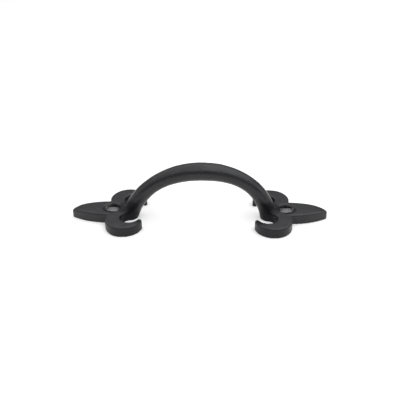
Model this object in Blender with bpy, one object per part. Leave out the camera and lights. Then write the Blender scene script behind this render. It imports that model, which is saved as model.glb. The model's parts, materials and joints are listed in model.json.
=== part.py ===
"""Fleur-de-lis pull: a one-piece cast drawer pull with a lily-shaped plate at each end.

The pull lies along X, its grip rises along +Z, and the backs of its plates rest on Z = 0.
Metres throughout. Each plate is drawn once about its own screw hole, with +x towards
the tip of its leaf, and is then placed at both ends.
"""

import math

import bmesh
import bpy
import numpy as np
from mathutils import Vector

MM = 0.001

# Whole pull
HOLE_CENTRES = 96.0 * MM        # from screw hole to screw hole
GRIP_HEIGHT = 33.4 * MM         # from the mounting plane to the top of the crown

# End plate
PLATE_THICKNESS = 5.8 * MM
EDGE_ROUND = 0.8 * MM           # worn edge round the plate's face

# Leaf, the long middle petal
LEAF_REACH = 22.0 * MM          # from the hole's centre to the leaf's tip
LEAF_WIDTH = 13.6 * MM
LEAF_SHOULDER = 2.0 * MM        # from the hole's centre to the widest place
LEAF_TIP_ROUND = 2.0 * MM       # radius
TIP_FALL = 1.5 * MM             # how far the leaf's face drops at its tip
TIP_FALL_RUN = 8.0 * MM         # over this length

# Side petals, which curl round into crooks
PETAL_RADIUS = 10.2 * MM
PETAL_SETBACK = 8.05 * MM       # from the hole's centre back to the petal's centre
PETAL_SPREAD = 19.8 * MM        # between the centres of the two petals
PETAL_TIP_ROUND = 1.3 * MM      # radius
NOTCH_ROUND = 0.4 * MM          # radius of the fillet between leaf and petal
CROOK_RADIUS = 4.75 * MM        # closed end of the gap inside the petal
CROOK_SETBACK = 10.85 * MM      # from the hole's centre back to the crook's centre
CROOK_TURN = math.radians(65.0)  # where the gap's outer edge starts to open out
ARM_INNER_RADIUS = 5.15 * MM    # the gap's outer edge from there to the petal's tip

# Screw hole, countersunk from the front
BORE = 7.2 * MM
SINK_RIM = 10.0 * MM
SINK_DEPTH = 1.2 * MM

# Grip: a round bar, swelled at the crown
CROWN_DIAMETER = 9.86 * MM
SHOULDER_DIAMETER = 8.36 * MM
FOOT_LENGTH = 9.4 * MM          # the foot is an oval, longer along the pull
FOOT_WIDTH = 8.9 * MM
SHOULDER_PLACE = 0.55           # along the bar from crown (0) to foot (1)
FOOT_SETBACK = 9.7 * MM         # from the hole's centre back to the foot's centre
FOOT_MARGIN = 0.15 * MM         # plate left on each side of the foot
ARCH_BASE = 10.5 * MM           # how far below the mounting plane the arch is widest
ARCH_SQUARENESS = 2.165         # 2 is an ellipse, more is squarer
CROWN_LEAN = 2.2 * MM           # how far the crown leans towards +X
FOOT_COVE = 1.8 * MM            # fillet between the foot and the plate, on the hole's side

# Fineness of the facets
ARC_SAG = 0.010 * MM            # how far a facet may cut inside a drawn arc
LINE_POINTS = 2000              # that the bar's centre line is read from
SLOPE_STEP = 0.002              # how far each side of a ring its slope is read, in bar lengths
BAR_STATIONS = 64
BAR_SIDES = 28
STATION_CROWDING = 0.6          # 0 spaces the bar's rings evenly, more crowds them at the feet
EDGE_SEGMENTS = 2
TIP_CUTS = 6
SMOOTH_ANGLE = math.radians(35.0)

# What a cutter runs past the face that it opens
OVERCUT = 1.0 * MM

# Which side of an arc the metal is on
BULGE = 1.0
HOLLOW = -1.0


def clear_scene():
    """Remove every object, so that the script can be run again."""
    for item in list(bpy.data.objects):
        bpy.data.objects.remove(item, do_unlink=True)


def black_iron():
    """Cast iron under a satin black coat."""
    material = bpy.data.materials.new("black_iron")
    material.use_nodes = True
    shader = material.node_tree.nodes["Principled BSDF"]
    shader.inputs["Base Color"].default_value = (0.021, 0.021, 0.024, 1.0)
    shader.inputs["Metallic"].default_value = 0.0
    shader.inputs["Roughness"].default_value = 0.45
    return material


def arc(centre, radius, start, end, inset=0.0):
    """Points along an arc, ends included, angles in radians; it runs either way round.

    The inset draws them nearer to the centre, and leaves their number as it was.
    """
    step = 2.0 * math.acos(1.0 - min(ARC_SAG / radius, 1.0))
    count = max(2, math.ceil(abs(end - start) / step))
    reach = radius - inset
    return [(centre[0] + reach * math.cos(turn), centre[1] + reach * math.sin(turn))
            for turn in np.linspace(start, end, count + 1).tolist()]


def meet(centre_a, radius_a, centre_b, radius_b, left):
    """Where two circles cross: the crossing on the left of the way from a to b, or the right."""
    way = Vector(centre_b) - Vector(centre_a)
    gap = way.length
    along = (gap ** 2 + radius_a ** 2 - radius_b ** 2) / (2.0 * gap)
    aside = math.sqrt(max(radius_a ** 2 - along ** 2, 0.0)) * (1.0 if left else -1.0)
    way.normalize()
    return tuple(Vector(centre_a) + along * way + aside * Vector((-way.y, way.x)))


def bearing(centre, point):
    """Angle of a point seen from a centre."""
    return math.atan2(point[1] - centre[1], point[0] - centre[0])


def arc_chain(arcs, start, end, inset):
    """Points along tangent arcs, each given as its centre, radius and side.

    Metal lies inside a BULGE, which runs counter-clockwise, and outside a HOLLOW.
    """
    turns = [start]
    for (centre_a, radius_a, side_a), (centre_b, radius_b, side_b) in zip(arcs, arcs[1:]):
        if side_a != side_b:
            turns += [bearing(centre_a, centre_b), bearing(centre_b, centre_a)]
        elif radius_a < radius_b:
            turns += [bearing(centre_b, centre_a)] * 2
        else:
            turns += [bearing(centre_a, centre_b)] * 2
    turns.append(end)
    points = []
    for (centre, radius, side), first, last in zip(arcs, turns[::2], turns[1::2]):
        sweep = side * ((side * (last - first)) % (2.0 * math.pi))
        points += arc(centre, radius, first, first + sweep, side * inset)[1 if points else 0:]
    return points


def leaf_side():
    """Centre and radius of the arc along the leaf's upper side, level at the shoulder."""
    half = LEAF_WIDTH / 2.0
    run = LEAF_REACH - LEAF_TIP_ROUND - LEAF_SHOULDER
    radius = (run ** 2 + half ** 2 - LEAF_TIP_ROUND ** 2) / (2.0 * (half - LEAF_TIP_ROUND))
    return (LEAF_SHOULDER, half - radius), radius


def petal_centre():
    """Centre of the upper petal's outer edge."""
    return (-PETAL_SETBACK, PETAL_SPREAD / 2.0)


def mirrored(upper):
    """Close an outline whose upper half runs from y = 0 back to y = 0."""
    return upper + [(x, -y) for x, y in reversed(upper[1:-1])]


def plate_outline(inset=0.0):
    """The lily, counter-clockwise from the leaf's tip."""
    side_centre, side_radius = leaf_side()
    petal = petal_centre()
    foot = (-FOOT_SETBACK, 0.0)
    tongue = FOOT_WIDTH / 2.0 + FOOT_MARGIN
    crook_rise = math.sqrt((CROOK_RADIUS + tongue) ** 2 - (CROOK_SETBACK - FOOT_SETBACK) ** 2)
    crook = (-CROOK_SETBACK, crook_rise)
    widening = ARM_INNER_RADIUS - CROOK_RADIUS
    arm = (crook[0] - widening * math.cos(CROOK_TURN), crook[1] - widening * math.sin(CROOK_TURN))
    notch = meet(petal, PETAL_RADIUS + NOTCH_ROUND, side_centre, side_radius + NOTCH_ROUND, left=True)
    petal_tip = meet(petal, PETAL_RADIUS - PETAL_TIP_ROUND, arm, ARM_INNER_RADIUS + PETAL_TIP_ROUND,
                     left=False)
    arcs = [((LEAF_REACH - LEAF_TIP_ROUND, 0.0), LEAF_TIP_ROUND, BULGE),
            (side_centre, side_radius, BULGE),
            (notch, NOTCH_ROUND, HOLLOW),
            (petal, PETAL_RADIUS, BULGE),
            (petal_tip, PETAL_TIP_ROUND, BULGE),
            (arm, ARM_INNER_RADIUS, HOLLOW),
            (crook, CROOK_RADIUS, HOLLOW),
            (foot, tongue, BULGE)]
    return mirrored(arc_chain(arcs, 0.0, math.pi, inset))


def to_mesh(shape, name):
    """Turn working geometry into a named mesh, smooth except at its real edges."""
    mesh = bpy.data.meshes.new(name)
    shape.to_mesh(mesh)
    shape.free()
    mesh.shade_smooth()
    mesh.set_sharp_from_angle(angle=SMOOTH_ANGLE)
    return mesh


def skin(shape, rings):
    """Join a row of rings of equal count and cap both ends."""
    for lower, upper in zip(rings, rings[1:]):
        for i, j in zip(range(len(lower)), [*range(1, len(lower)), 0]):
            shape.faces.new((lower[i], lower[j], upper[j], upper[i]))
    shape.faces.new(rings[0])
    shape.faces.new(rings[-1])
    bmesh.ops.recalc_face_normals(shape, faces=shape.faces)


def stack(levels):
    """A solid through flat outlines, each given with its height."""
    shape = bmesh.new()
    skin(shape, [[shape.verts.new((x, y, height)) for x, y in outline] for outline, height in levels])
    return shape


def parts_of(shape):
    """All the geometry that an operator may be given."""
    return [*shape.verts, *shape.edges, *shape.faces]


def lower_tip(shape):
    """Let the leaf's face fall away towards its tip."""
    start = LEAF_REACH - TIP_FALL_RUN
    for k in range(TIP_CUTS):
        across = (start + TIP_FALL_RUN * k / TIP_CUTS, 0.0, 0.0)
        bmesh.ops.bisect_plane(shape, geom=parts_of(shape), plane_co=across, plane_no=(1.0, 0.0, 0.0))
    for corner in shape.verts:
        along = max(corner.co.x - start, 0.0) / TIP_FALL_RUN
        corner.co.z *= 1.0 - along ** 2 * TIP_FALL / PLATE_THICKNESS


def plate_mesh():
    """The lily plate with its face edge rounded over."""
    levels = [(plate_outline(), 0.0)]
    for k in range(EDGE_SEGMENTS + 1):
        turn = 0.5 * math.pi * k / EDGE_SEGMENTS
        levels.append((plate_outline(EDGE_ROUND * (1.0 - math.cos(turn))),
                       PLATE_THICKNESS - EDGE_ROUND * (1.0 - math.sin(turn))))
    shape = stack(levels)
    lower_tip(shape)
    return to_mesh(shape, "plate")


def hole_mesh():
    """Cutter for the screw hole: bore, countersink and the straight run above the face."""
    bore, rim = (arc((0.0, 0.0), BORE / 2.0, 0.0, 2.0 * math.pi, (BORE - width) / 2.0)[:-1]
                 for width in (BORE, SINK_RIM))
    return to_mesh(stack([(bore, -OVERCUT), (bore, PLATE_THICKNESS - SINK_DEPTH),
                          (rim, PLATE_THICKNESS), (rim, PLATE_THICKNESS + OVERCUT)]), "hole")


def arch_line():
    """Closely spaced points along the bar's centre line, from the -X foot to the +X foot."""
    crown = GRIP_HEIGHT - CROWN_DIAMETER / 2.0
    rise = crown + ARCH_BASE
    foot = HOLE_CENTRES / 2.0 - FOOT_SETBACK
    reach = foot / (1.0 - (ARCH_BASE / rise) ** ARCH_SQUARENESS) ** (1.0 / ARCH_SQUARENESS)
    lowest = math.asin(((ARCH_BASE - OVERCUT) / rise) ** (ARCH_SQUARENESS / 2.0))
    turn = np.linspace(math.pi - lowest, lowest, LINE_POINTS)
    power = 2.0 / ARCH_SQUARENESS
    x = reach * np.sign(np.cos(turn)) * np.abs(np.cos(turn)) ** power
    z = rise * np.sin(turn) ** power - ARCH_BASE
    return np.stack([x + CROWN_LEAN * z / crown, np.zeros_like(x), z], axis=1)


def bar_radius(place, foot_diameter):
    """Radius of the bar at a place from crown (0) to foot (1): a smooth swell, level at the crown."""
    crown, shoulder, foot = (d / 2.0 for d in (CROWN_DIAMETER, SHOULDER_DIAMETER, foot_diameter))
    if place < SHOULDER_PLACE:
        ease = 0.5 - 0.5 * math.cos(math.pi * place / SHOULDER_PLACE)
        return crown + (shoulder - crown) * ease
    ease = (place - SHOULDER_PLACE) / (1.0 - SHOULDER_PLACE)
    return shoulder + (foot - shoulder) * ease


def foot_spread(height):
    """How far the fillet at the foot stands out from the bar at a height."""
    up = min(max((height - PLATE_THICKNESS) / FOOT_COVE, 0.0), 1.0)
    return FOOT_COVE * (1.0 - math.sqrt(1.0 - (1.0 - up) ** 2))


def bar_mesh():
    """The grip: rings along the arch, cut flat at the mounting plane."""
    line = arch_line()
    run = np.concatenate([[0.0], np.cumsum(np.linalg.norm(np.diff(line, axis=0), axis=1))])
    even = np.linspace(0.0, 1.0, BAR_STATIONS + 1)
    places = even - STATION_CROWDING * np.sin(2.0 * math.pi * even) / (2.0 * math.pi)
    across = Vector((0.0, 1.0, 0.0))
    shape = bmesh.new()
    rings = []
    for place in places.tolist():
        centre, before, after = (
            Vector([np.interp(np.clip(place + d, 0.0, 1.0) * run[-1], run, line[:, k]) for k in range(3)])
            for d in (0.0, -SLOPE_STEP, SLOPE_STEP))
        outward = across.cross(after - before).normalized()
        along, aside = (bar_radius(abs(2.0 * place - 1.0), d) for d in (FOOT_LENGTH, FOOT_WIDTH))
        ring = []
        for turn in np.linspace(0.0, 2.0 * math.pi, BAR_SIDES, endpoint=False).tolist():
            spoke = math.cos(turn) * outward + math.sin(turn) * across
            point = centre + along * math.cos(turn) * outward + aside * math.sin(turn) * across
            towards_hole = math.copysign(1.0, centre.x) * spoke.x
            point += foot_spread(point.z) * max(towards_hole, 0.0) * spoke
            ring.append(shape.verts.new(point))
        rings.append(ring)
    skin(shape, rings)
    cut = bmesh.ops.bisect_plane(shape, geom=parts_of(shape), plane_co=(0.0, 0.0, 0.0),
                                 plane_no=(0.0, 0.0, 1.0), clear_inner=True)
    rims = [e for e in cut["geom_cut"] if isinstance(e, bmesh.types.BMEdge)]
    bmesh.ops.holes_fill(shape, edges=rims)
    bmesh.ops.recalc_face_normals(shape, faces=shape.faces)
    return to_mesh(shape, "bar")


def place_object(name, mesh, location=(0.0, 0.0, 0.0), turn=0.0):
    """Put a mesh into the scene under a name."""
    item = bpy.data.objects.new(name, mesh)
    item.location = location
    item.rotation_euler = (0.0, 0.0, turn)
    bpy.context.scene.collection.objects.link(item)
    return item


def as_tool(item):
    """Mark an object that only shapes another."""
    item.hide_render = True
    item.display_type = "WIRE"
    return item


def shape_with(body, tool, operation):
    """Add or cut one solid with another."""
    step = body.modifiers.new(tool.name, "BOOLEAN")
    step.operation = operation
    step.solver = "EXACT"
    step.object = as_tool(tool)


def build_pull():
    """The whole casting: grip, two lily plates and their screw holes."""
    bar = bar_mesh()
    bar.materials.append(black_iron())
    pull = place_object("pull", bar)
    ends = (("left", -HOLE_CENTRES / 2.0, math.pi), ("right", HOLE_CENTRES / 2.0, 0.0))
    for mesh, operation in ((plate_mesh(), "UNION"), (hole_mesh(), "DIFFERENCE")):
        for side, x, turn in ends:
            tool = place_object(f"{side}_{mesh.name}", mesh, (x, 0.0, 0.0), turn)
            shape_with(pull, tool, operation)


clear_scene()
build_pull()
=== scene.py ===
"""Looks of the fleur-de-lis pull: a satin black casting on a pale studio floor.

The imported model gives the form. The casting is a copy of it with the soft edges, the filled
corners and the slightly uneven skin of a sand casting, in black stoving enamel, with the bare
iron that the drill left in its screw holes. Metres throughout, +Z up.
"""

import json
import logging
import math
from dataclasses import dataclass, field
from enum import Enum

import bpy
from mathutils import Matrix, Vector


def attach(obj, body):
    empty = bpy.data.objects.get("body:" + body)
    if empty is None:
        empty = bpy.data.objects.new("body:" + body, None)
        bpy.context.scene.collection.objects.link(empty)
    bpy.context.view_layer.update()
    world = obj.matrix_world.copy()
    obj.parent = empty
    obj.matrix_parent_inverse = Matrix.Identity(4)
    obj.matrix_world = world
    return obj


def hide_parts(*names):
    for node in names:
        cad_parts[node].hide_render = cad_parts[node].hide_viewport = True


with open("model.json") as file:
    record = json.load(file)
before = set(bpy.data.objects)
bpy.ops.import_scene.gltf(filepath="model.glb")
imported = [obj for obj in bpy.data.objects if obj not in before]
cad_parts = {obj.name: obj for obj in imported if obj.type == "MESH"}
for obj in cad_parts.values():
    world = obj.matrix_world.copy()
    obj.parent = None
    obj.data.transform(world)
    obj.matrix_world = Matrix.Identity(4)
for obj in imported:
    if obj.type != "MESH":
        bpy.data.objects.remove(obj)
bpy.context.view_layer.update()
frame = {"nodes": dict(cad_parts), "record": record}

LOG = logging.getLogger("fleur_de_lis_pull")
MM = 0.001


class ScrewHole(Enum):
    """The pull's screw holes, by the names of their openings in the record."""

    LEFT = "left_screw_hole"
    RIGHT = "right_screw_hole"

    def centre(self) -> float:
        """Read the hole's place from the record.

        Returns:
            Where its centre is along X.
        """
        for opening in frame["record"]["physics"]["openings"]:
            if opening["name"] == self.value:
                low, high = opening["box_m"]
                return (low[0] + high[0]) / 2.0
        raise KeyError(self.value)


def hole_reach() -> float:
    """How far each screw hole's centre is from the middle of the pull."""
    return (ScrewHole.RIGHT.centre() - ScrewHole.LEFT.centre()) / 2.0


def linear(colour: str) -> tuple[float, float, float, float]:
    """Turn an sRGB hex colour into linear light.

    Args:
        colour: Six hex digits after a hash sign.

    Returns:
        Red, green, blue and an alpha of 1.
    """
    values = [int(colour[i:i + 2], 16) / 255.0 for i in (1, 3, 5)]
    red, green, blue = (v / 12.92 if v <= 0.04045 else ((v + 0.055) / 1.055) ** 2.4 for v in values)
    return red, green, blue, 1.0


def add_node(tree: bpy.types.NodeTree, kind: str, settings: dict | None = None,
             inputs: dict | None = None) -> bpy.types.Node:
    """Add a node with its settings and links.

    Args:
        tree: The node tree that it goes into.
        kind: The node's type, such as ShaderNodeTexNoise.
        settings: The node's own options.
        inputs: What each input holds: a value, or the output that feeds it.

    Returns:
        The new node.
    """
    node = tree.nodes.new(kind)
    for name, value in (settings or {}).items():
        setattr(node, name, value)
    for name, value in (inputs or {}).items():
        if isinstance(value, bpy.types.NodeSocket):
            tree.links.new(value, node.inputs[name])
        else:
            node.inputs[name].default_value = value
    return node


@dataclass(frozen=True)
class EnamelledCastIron:
    """Satin black stoving enamel over sand-cast iron, drilled after it was coated.

    The coat is a thin paint: it follows the grain of the casting, so highlights break up softly,
    and it is lighter in random patches of thinner coat. A lighter coat along the edges is a
    painted highlight; a duller coat in the crooks, round the feet and on the petals' walls, and a
    darker coat in the countersinks, are painted shade. The drill left bright bare iron in the
    screw holes, below the countersinks; the dark coat left at the top of each bore's far wall and
    round its foot is painted shade.
    """

    coat: str = "#0C0C0F"
    # lighter coat: random patches of thinner coat, and a painted highlight along the edges
    thin_coat_and_edge_highlight: str = "#2A2A2E"
    roughness: float = 0.33
    roughness_spread: float = 0.16    # from the coat's glossiest patches to its dullest
    coat_specular: float = 0.39
    shade_specular: float = 0.12       # painted shade: a lower specular level darkens the crooks, the feet and the petals' walls
    patch: float = 5.6 * MM           # size of the patches of thinner, glossier coat
    patch_thinning: float = 0.5       # in the patches, beside 1 for the painted highlight on the edges
    noise_span: tuple[float, float] = (0.3, 0.7)      # most of a noise texture lies in it
    edge_highlight_span: tuple[float, float] = (0.51, 0.60)     # pointiness, from flat faces to edges in full painted highlight
    grain: float = 0.7 * MM           # the sand's, drawn coarser than its real 0.2 mm so as to show
    grain_depth: float = 0.04 * MM
    ripple: float = 2.8 * MM          # size of the flow marks left as the iron filled the mould
    ripple_depth: float = 0.09 * MM

    countersink_shade: str = "#070708"        # painted shade in the countersinks
    countersink_shade_full: float = 4.2 * MM      # fully so up to this radius
    countersink_shade_end: float = 5.3 * MM      # and not at all from this one

    iron: str = "#9E9EA2"
    iron_roughness: float = 0.42
    bore_radius: float = 3.6 * MM
    bore_slack: float = 0.25 * MM     # past the radius, so that all of the softened wall is in it
    far_wall_shade_edge: float = 3.7 * MM        # painted shade: on the +Y side dark coat covers the bore's wall down to here
    foot_shade_edge: float = 0.75 * MM      # painted shade: dark coat covers the bore's foot up to here
    far_wall_shade_slant: float = 0.62           # rise over run of the far wall's painted shade edge, towards -Y
    foot_shade_slant: float = 1.0           # and of the foot's painted shade edge: only the +Y half stays bare

    foot_setback: float = 9.7 * MM    # from the hole's centre back to the foot's
    foot_shade_reach: float = 7.5 * MM      # the foot's painted shade lies within this of its centre
    foot_shade_top: float = 13.0 * MM       # and below this height
    crook_shade_reach: float = 12.5 * MM    # the crooks' walls lie within this of the foot's centre
    wall_top: float = 5.3 * MM        # walls end here, at the edge of the plate's face, where the painted shade stops
    petal_start: float = 8.5 * MM     # the petals' walls lie this far out or more
    petal_wall_shade: float = 0.45         # of painted shade there
    fade: float = 2.5 * MM            # over which the painted shade gives way to the shiny coat

    def build(self) -> bpy.types.Material:
        """Make the material.

        Returns:
            The material, ready for a casting whose object sits at the origin.
        """
        material = bpy.data.materials.new("satin_enamel_with_painted_light")
        material.use_nodes = True
        tree = material.node_tree
        tree.nodes.clear()
        place = add_node(tree, "ShaderNodeTexCoord").outputs["Object"]
        bump = self.skin(tree, place)
        patches = add_node(tree, "ShaderNodeTexNoise", inputs={
            "Vector": place, "Scale": 1.0 / self.patch, "Detail": 4.0}).outputs["Fac"]
        colour = self.colour(tree, place, patches)
        roughness = self.sheen(tree, patches)
        # painted shade: the second coat has a lower specular level, to darken the crooks, feet and
        # petals' walls
        shiny, shaded = (add_node(tree, "ShaderNodeBsdfPrincipled", inputs={
            "Base Color": colour, "Roughness": roughness, "Specular IOR Level": specular,
            "Normal": bump}) for specular in (self.coat_specular, self.shade_specular))
        coat = add_node(tree, "ShaderNodeMixShader", inputs={
            0: self.painted_shade(tree, place), 1: shiny.outputs[0], 2: shaded.outputs[0]})
        iron = add_node(tree, "ShaderNodeBsdfPrincipled", inputs={
            "Base Color": linear(self.iron), "Metallic": 1.0, "Roughness": self.iron_roughness,
            "Normal": bump})
        mixed = add_node(tree, "ShaderNodeMixShader", inputs={
            0: self.bare(tree, place), 1: coat.outputs[0], 2: iron.outputs[0]})
        add_node(tree, "ShaderNodeOutputMaterial", inputs={"Surface": mixed.outputs[0]})
        return material

    def skin(self, tree: bpy.types.NodeTree, place: bpy.types.NodeSocket) -> bpy.types.NodeSocket:
        """Sand grain on top of broad flow marks.

        Args:
            tree: The material's node tree.
            place: Object coordinates.

        Returns:
            The roughened normal.
        """
        ripples = add_node(tree, "ShaderNodeTexNoise", inputs={
            "Vector": place, "Scale": 1.0 / self.ripple, "Detail": 2.0})
        grains = add_node(tree, "ShaderNodeTexNoise", inputs={
            "Vector": place, "Scale": 1.0 / self.grain, "Detail": 3.0})
        waves = add_node(tree, "ShaderNodeBump", inputs={
            "Height": ripples.outputs["Fac"], "Distance": self.ripple_depth})
        return add_node(tree, "ShaderNodeBump", inputs={
            "Height": grains.outputs["Fac"], "Distance": self.grain_depth,
            "Normal": waves.outputs["Normal"]}).outputs["Normal"]

    def colour(self, tree: bpy.types.NodeTree, place: bpy.types.NodeSocket,
               patches: bpy.types.NodeSocket) -> bpy.types.NodeSocket:
        """The enamel's colour: lighter in random patches, with a painted highlight on the edges and
        painted shade in the countersinks.

        Args:
            tree: The material's node tree.
            place: Object coordinates.
            patches: How far a point is into a patch of thinner coat.

        Returns:
            The colour.
        """
        flat, highlit = self.edge_highlight_span
        # painted highlight: pointiness lightens the coat along the edges
        edges = add_node(tree, "ShaderNodeMapRange", inputs={
            "Value": add_node(tree, "ShaderNodeNewGeometry").outputs["Pointiness"],
            "From Min": flat, "From Max": highlit})
        thin = add_node(tree, "ShaderNodeMath", {"operation": "MULTIPLY_ADD", "use_clamp": True}, {
            0: patches, 1: self.patch_thinning, 2: edges.outputs["Result"]})
        face = add_node(tree, "ShaderNodeMix", {"data_type": "RGBA"}, {
            "Factor": thin.outputs[0], "A": linear(self.coat), "B": linear(self.thin_coat_and_edge_highlight)})
        # painted shade: the coat is darkened in and round the countersinks
        sink_shade = add_node(tree, "ShaderNodeMapRange", inputs={
            "Value": self.from_axis(tree, place, hole_reach()),
            "From Min": self.countersink_shade_full, "From Max": self.countersink_shade_end, "To Min": 1.0, "To Max": 0.0})
        return add_node(tree, "ShaderNodeMix", {"data_type": "RGBA"}, {
            "Factor": sink_shade.outputs["Result"], "A": face.outputs["Result"],
            "B": linear(self.countersink_shade)}).outputs["Result"]

    def sheen(self, tree: bpy.types.NodeTree,
              patches: bpy.types.NodeSocket) -> bpy.types.NodeSocket:
        """The enamel's roughness, less in the patches of thinner coat.

        Args:
            tree: The material's node tree.
            patches: How far a point is into such a patch.

        Returns:
            The roughness.
        """
        low, high = self.noise_span
        return add_node(tree, "ShaderNodeMapRange", inputs={
            "Value": patches, "From Min": low, "From Max": high,
            "To Min": self.roughness + self.roughness_spread / 2.0,
            "To Max": self.roughness - self.roughness_spread / 2.0}).outputs["Result"]

    def within(self, tree: bpy.types.NodeTree, value: bpy.types.NodeSocket,
               limit: float) -> bpy.types.NodeSocket:
        """A soft test: 1 well below a limit, falling to 0 at it.

        Args:
            tree: The material's node tree.
            value: What is tested.
            limit: Where it reaches 0.

        Returns:
            The share.
        """
        return add_node(tree, "ShaderNodeMapRange", inputs={
            "Value": value, "From Min": limit - self.fade, "From Max": limit,
            "To Min": 1.0, "To Max": 0.0}).outputs["Result"]

    def painted_shade(self, tree: bpy.types.NodeTree,
                place: bpy.types.NodeSocket) -> bpy.types.NodeSocket:
        """Painted shade, as a duller coat: in the crooks, round the feet and, less so, on the
        petals' walls.

        Args:
            tree: The material's node tree.
            place: Object coordinates.

        Returns:
            The share of painted shade.
        """
        axes = add_node(tree, "ShaderNodeSeparateXYZ", inputs={0: place})
        height = axes.outputs["Z"]
        away = self.from_axis(tree, place, hole_reach() - self.foot_setback)
        on_walls = add_node(tree, "ShaderNodeMath", {"operation": "LESS_THAN"}, {
            0: height, 1: self.wall_top})
        crooks = add_node(tree, "ShaderNodeMath", {"operation": "MULTIPLY"}, {
            0: self.within(tree, away, self.crook_shade_reach), 1: on_walls.outputs[0]})
        aside = add_node(tree, "ShaderNodeMath", {"operation": "ABSOLUTE"}, {0: axes.outputs["Y"]})
        far_out = add_node(tree, "ShaderNodeMapRange", inputs={
            "Value": aside.outputs[0], "From Min": self.petal_start,
            "From Max": self.petal_start + self.fade, "To Max": self.petal_wall_shade})
        petals = add_node(tree, "ShaderNodeMath", {"operation": "MULTIPLY"}, {
            0: far_out.outputs["Result"], 1: on_walls.outputs[0]})
        feet = add_node(tree, "ShaderNodeMath", {"operation": "MULTIPLY"}, {
            0: self.within(tree, away, self.foot_shade_reach),
            1: self.within(tree, height, self.foot_shade_top)})
        inner = add_node(tree, "ShaderNodeMath", {"operation": "MAXIMUM"}, {
            0: crooks.outputs[0], 1: feet.outputs[0]})
        return add_node(tree, "ShaderNodeMath", {"operation": "MAXIMUM"}, {
            0: inner.outputs[0], 1: petals.outputs[0]}).outputs[0]

    def from_axis(self, tree: bpy.types.NodeTree, place: bpy.types.NodeSocket,
                  centre: float) -> bpy.types.NodeSocket:
        """How far a point is from an upright axis at its own end of the pull.

        Args:
            tree: The material's node tree.
            place: Object coordinates.
            centre: How far the axis is from the middle of the pull.

        Returns:
            The distance.
        """
        axes = add_node(tree, "ShaderNodeSeparateXYZ", inputs={0: place})
        from_middle = add_node(tree, "ShaderNodeMath", {"operation": "ABSOLUTE"}, {
            0: axes.outputs["X"]})
        along = add_node(tree, "ShaderNodeMath", {"operation": "SUBTRACT"}, {
            0: from_middle.outputs[0], 1: centre})
        flat = add_node(tree, "ShaderNodeCombineXYZ", inputs={
            "X": along.outputs[0], "Y": axes.outputs["Y"]})
        return add_node(tree, "ShaderNodeVectorMath", {"operation": "LENGTH"}, {
            0: flat.outputs[0]}).outputs["Value"]

    def bare(self, tree: bpy.types.NodeTree, place: bpy.types.NodeSocket) -> bpy.types.NodeSocket:
        """Where the drill left bare iron: 1 in the bores, between the two edges of the dark coat
        that paints shade on the bore's wall.

        Args:
            tree: The material's node tree.
            place: Object coordinates.

        Returns:
            The share of bare iron.
        """
        axes = add_node(tree, "ShaderNodeSeparateXYZ", inputs={0: place})
        share = add_node(tree, "ShaderNodeMath", {"operation": "LESS_THAN"}, {
            0: self.from_axis(tree, place, hole_reach()),
            1: self.bore_radius + self.bore_slack}).outputs[0]
        # painted shade: dark coat is left on the bore's far wall above one slanted edge and round
        # its foot below the other
        for test, height, slant in (("LESS_THAN", self.far_wall_shade_edge, self.far_wall_shade_slant),
                                    ("GREATER_THAN", self.foot_shade_edge, self.foot_shade_slant)):
            level = add_node(tree, "ShaderNodeMath", {"operation": "MULTIPLY_ADD"}, {
                0: axes.outputs["Y"], 1: slant, 2: axes.outputs["Z"]})
            passed = add_node(tree, "ShaderNodeMath", {"operation": test}, {
                0: level.outputs[0], 1: height + slant * self.bore_radius})
            share = add_node(tree, "ShaderNodeMath", {"operation": "MULTIPLY"}, {
                0: share, 1: passed.outputs[0]}).outputs[0]
        return share


@dataclass(frozen=True)
class PaleFloor:
    """Matt white board: it takes the pull's soft shadow and reads as white around it."""

    board: str = "#E6E6E6"
    glow: float = 0.18                # added only for the camera and for what mirrors the floor

    def build(self) -> bpy.types.Material:
        """Make the material.

        Returns:
            A matt white that the camera, and what mirrors it, sees a little lighter.
        """
        material = bpy.data.materials.new("matt_white_board")
        material.use_nodes = True
        tree = material.node_tree
        tree.nodes.clear()
        rays = add_node(tree, "ShaderNodeLightPath")
        either = add_node(tree, "ShaderNodeMath", {"operation": "MAXIMUM"}, {
            0: rays.outputs["Is Camera Ray"], 1: rays.outputs["Is Glossy Ray"]})
        seen = add_node(tree, "ShaderNodeMath", {"operation": "MAXIMUM"}, {
            0: either.outputs[0], 1: rays.outputs["Is Transmission Ray"]})
        strength = add_node(tree, "ShaderNodeMath", {"operation": "MULTIPLY"}, {
            0: seen.outputs[0], 1: self.glow})
        matt = add_node(tree, "ShaderNodeBsdfDiffuse", inputs={"Color": linear(self.board)})
        glow = add_node(tree, "ShaderNodeEmission", inputs={"Strength": strength.outputs[0]})
        both = add_node(tree, "ShaderNodeAddShader", inputs={0: matt.outputs[0], 1: glow.outputs[0]})
        add_node(tree, "ShaderNodeOutputMaterial", inputs={"Surface": both.outputs[0]})
        return material


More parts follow.
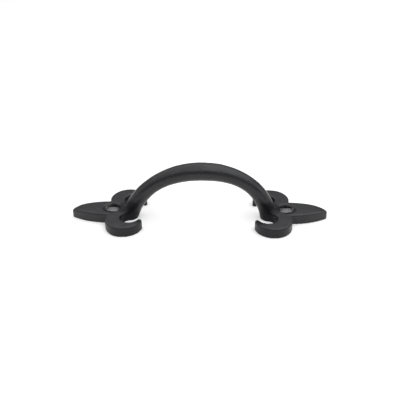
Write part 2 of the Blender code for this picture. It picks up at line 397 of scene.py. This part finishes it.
@dataclass
class Casting:
    """The pull itself: grip and lily plates, cast in one piece."""

    node: str = "pull"
    merge: float = 0.001 * MM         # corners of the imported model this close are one
    voxel: float = 0.33 * MM
    softening: int = 3                # rounds of smoothing, which round the edges by about a voxel
    filed: tuple[tuple[float, float], ...] = (      # out from the hole's centre, and across
        (-16.7 * MM, 12.0 * MM),      # a petal's tip
        (0.6 * MM, 8.2 * MM),         # its shoulder, beside the leaf
        (21.0 * MM, 0.0))             # the leaf's tip
    filed_reach: float = 2.6 * MM     # the pattern was filed rounder this far round each of them
    filed_from: float = 0.6 * MM      # above the mounting plane
    filing: int = 14                  # rounds of smoothing there
    swell: float = 6.0 * MM           # spacing of the swells that hand finishing left
    swell_height: float = 0.15 * MM
    swell_inwards: float = 0.7        # share of the height that goes in, which keeps the size
    swell_detail: int = 2
    back: float = 0.12 * MM           # what lies this close to the mounting plane is ground flat
    finish: EnamelledCastIron = field(default_factory=EnamelledCastIron)

    def build(self) -> bpy.types.Object:
        """Model and dress the casting.

        Returns:
            The finished piece.
        """
        piece = self.blank()
        self.soften(piece)
        self.file_corners(piece)
        self.unevenness(piece)
        self.grind_back(piece)
        piece.data.materials.clear()
        piece.data.materials.append(self.finish.build())
        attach(piece, "root")
        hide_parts(self.node)
        return piece

    def blank(self) -> bpy.types.Object:
        """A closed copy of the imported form.

        Returns:
            The copy, selected and active.
        """
        bpy.ops.object.select_all(action="DESELECT")
        piece = bpy.data.objects.new("pull_casting", frame["nodes"][self.node].data.copy())
        bpy.context.scene.collection.objects.link(piece)
        bpy.context.view_layer.objects.active = piece
        piece.select_set(True)
        bpy.ops.object.mode_set(mode="EDIT")
        bpy.ops.mesh.select_all(action="SELECT")
        bpy.ops.mesh.remove_doubles(threshold=self.merge)
        bpy.ops.mesh.normals_make_consistent(inside=False)
        bpy.ops.object.mode_set(mode="OBJECT")
        return piece

    def soften(self, piece: bpy.types.Object) -> None:
        """Round the edges and fill the inner corners, as a sand mould does.

        Args:
            piece: The casting.
        """
        remesh = piece.modifiers.new("skin", "REMESH")
        remesh.mode = "VOXEL"
        remesh.voxel_size = self.voxel
        remesh.use_smooth_shade = True
        bpy.ops.object.modifier_apply(modifier=remesh.name)
        smooth = piece.modifiers.new("soft_edges", "SMOOTH")
        smooth.iterations = self.softening
        bpy.ops.object.modifier_apply(modifier=smooth.name)

    def file_corners(self, piece: bpy.types.Object) -> None:
        """Round off the tips of petals and leaves, and the petals' shoulders.

        Args:
            piece: The casting.
        """
        spots = [(hole_reach() + out, across) for out, across in self.filed]
        corners = piece.vertex_groups.new(name="filed")
        for corner in piece.data.vertices:
            place = (abs(corner.co.x), abs(corner.co.y))
            away = min(math.dist(place, spot) for spot in spots)
            if away < self.filed_reach and corner.co.z > self.filed_from:
                corners.add([corner.index], 1.0 - (away / self.filed_reach) ** 2, "REPLACE")
        smooth = piece.modifiers.new("filed", "SMOOTH")
        smooth.iterations = self.filing
        smooth.vertex_group = corners.name
        bpy.ops.object.modifier_apply(modifier=smooth.name)
        piece.vertex_groups.clear()

    def unevenness(self, piece: bpy.types.Object) -> None:
        """The slight swells of a pattern that was carved and sanded by hand.

        Args:
            piece: The casting.
        """
        clouds = bpy.data.textures.new("swells", "CLOUDS")
        clouds.noise_scale = self.swell
        clouds.noise_depth = self.swell_detail
        swells = piece.modifiers.new("swells", "DISPLACE")
        swells.texture = clouds
        swells.texture_coords = "LOCAL"
        swells.strength = self.swell_height
        swells.mid_level = self.swell_inwards
        bpy.ops.object.modifier_apply(modifier=swells.name)

    def grind_back(self, piece: bpy.types.Object) -> None:
        """Press the plates' backs flat onto the mounting plane.

        Args:
            piece: The casting.
        """
        for corner in piece.data.vertices:
            corner.select = corner.co.z < self.back
        bpy.ops.object.mode_set(mode="EDIT")
        bpy.ops.mesh.select_mode(type="VERT")
        bpy.ops.transform.resize(value=(1.0, 1.0, 0.0), center_override=(0.0, 0.0, 0.0))
        bpy.ops.object.mode_set(mode="OBJECT")


@dataclass
class SoftLamp:
    """A rectangular softbox, which faces down unless it is turned."""

    name: str
    place: tuple[float, float, float]
    width: float
    depth: float
    power: float                      # watts
    turn: float = 0.0                 # degrees about Y: 90 faces -X, -90 faces +X

    def build(self) -> None:
        """Add the lamp."""
        bpy.ops.object.light_add(type="AREA", location=self.place,
                                 rotation=(0.0, math.radians(self.turn), 0.0))
        lamp = bpy.context.object
        lamp.name = self.name
        lamp.data.shape = "RECTANGLE"
        lamp.data.size = self.width
        lamp.data.size_y = self.depth
        lamp.data.energy = self.power


@dataclass
class Studio:
    """Floor, lamps and the white surroundings."""

    floor_width: float = 6.0
    surroundings: float = 0.34        # strength of the room's even light, where 1 is white
    floor: PaleFloor = field(default_factory=PaleFloor)
    lamps: tuple[SoftLamp, ...] = (
        SoftLamp("overhead", place=(0.0, 0.05, 0.55), width=1.8, depth=1.4, power=9.1),
        SoftLamp("overhead_right", place=(0.34, -0.15, 0.54), width=0.7, depth=0.9, power=1.7),
        SoftLamp("right", place=(0.95, -0.10, 0.30), width=0.4, depth=0.7, power=1.1, turn=90.0),
        SoftLamp("left", place=(-0.95, -0.10, 0.30), width=0.4, depth=0.7, power=0.8, turn=-90.0))

    def build(self) -> None:
        """Set up the floor, the lamps and the world."""
        bpy.ops.mesh.primitive_plane_add(size=self.floor_width)
        floor = bpy.context.object
        floor.name = "floor"
        floor.data.materials.append(self.floor.build())
        for lamp in self.lamps:
            lamp.build()
        self.white_room()

    def white_room(self) -> None:
        """A world that lights evenly and that the camera sees as plain white."""
        world = bpy.data.worlds.new("white_room")
        bpy.context.scene.world = world
        world.use_nodes = True
        tree = world.node_tree
        tree.nodes.clear()
        rays = add_node(tree, "ShaderNodeLightPath")
        strength = add_node(tree, "ShaderNodeMapRange", inputs={
            "Value": rays.outputs["Is Camera Ray"], "To Min": self.surroundings, "To Max": 1.0})
        sky = add_node(tree, "ShaderNodeBackground", inputs={
            "Color": (1.0, 1.0, 1.0, 1.0), "Strength": strength.outputs["Result"]})
        add_node(tree, "ShaderNodeOutputWorld", inputs={"Surface": sky.outputs[0]})


@dataclass
class PhotoCamera:
    """The camera, where the photograph was taken from."""

    distance: float = 0.2996          # in depth, to the pull's own origin
    nearest: float = 0.01             # that it draws
    elevation: float = 31.91          # degrees
    yaw: float = 2.18                 # degrees
    roll: float = -0.75               # degrees
    lens_mm: float = 48.72
    sensor_mm: float = 36.0
    picture_px: float = 400.0
    origin_px: tuple[float, float] = (199.0, 216.65)    # where the pull's own origin shows

    def build(self) -> None:
        """Add the camera and make it the scene's."""
        px = self.distance * self.sensor_mm / (self.lens_mm * self.picture_px)
        right, down = ((p - self.picture_px / 2.0) * px for p in self.origin_px)
        turn = (Matrix.Rotation(math.radians(self.yaw), 4, "Z")
                @ Matrix.Rotation(math.radians(90.0 - self.elevation), 4, "X")
                @ Matrix.Rotation(math.radians(self.roll), 4, "Z"))
        place = turn @ Vector((-right, down, self.distance))
        bpy.ops.object.camera_add(location=place, rotation=turn.to_euler())
        camera = bpy.context.object
        camera.name = "camera"
        camera.data.lens = self.lens_mm
        camera.data.sensor_width = self.sensor_mm
        camera.data.clip_start = self.nearest
        camera.data.dof.use_dof = False
        bpy.context.scene.camera = camera


def main() -> None:
    """Build the pull and its studio."""
    logging.basicConfig(level=logging.INFO, format="%(name)s: %(message)s")
    bpy.context.scene.view_settings.view_transform = "Standard"
    PhotoCamera().build()
    Studio().build()
    piece = Casting().build()
    LOG.info("%s: %d faces", piece.name, len(piece.data.polygons))


if __name__ == "__main__":
    main()
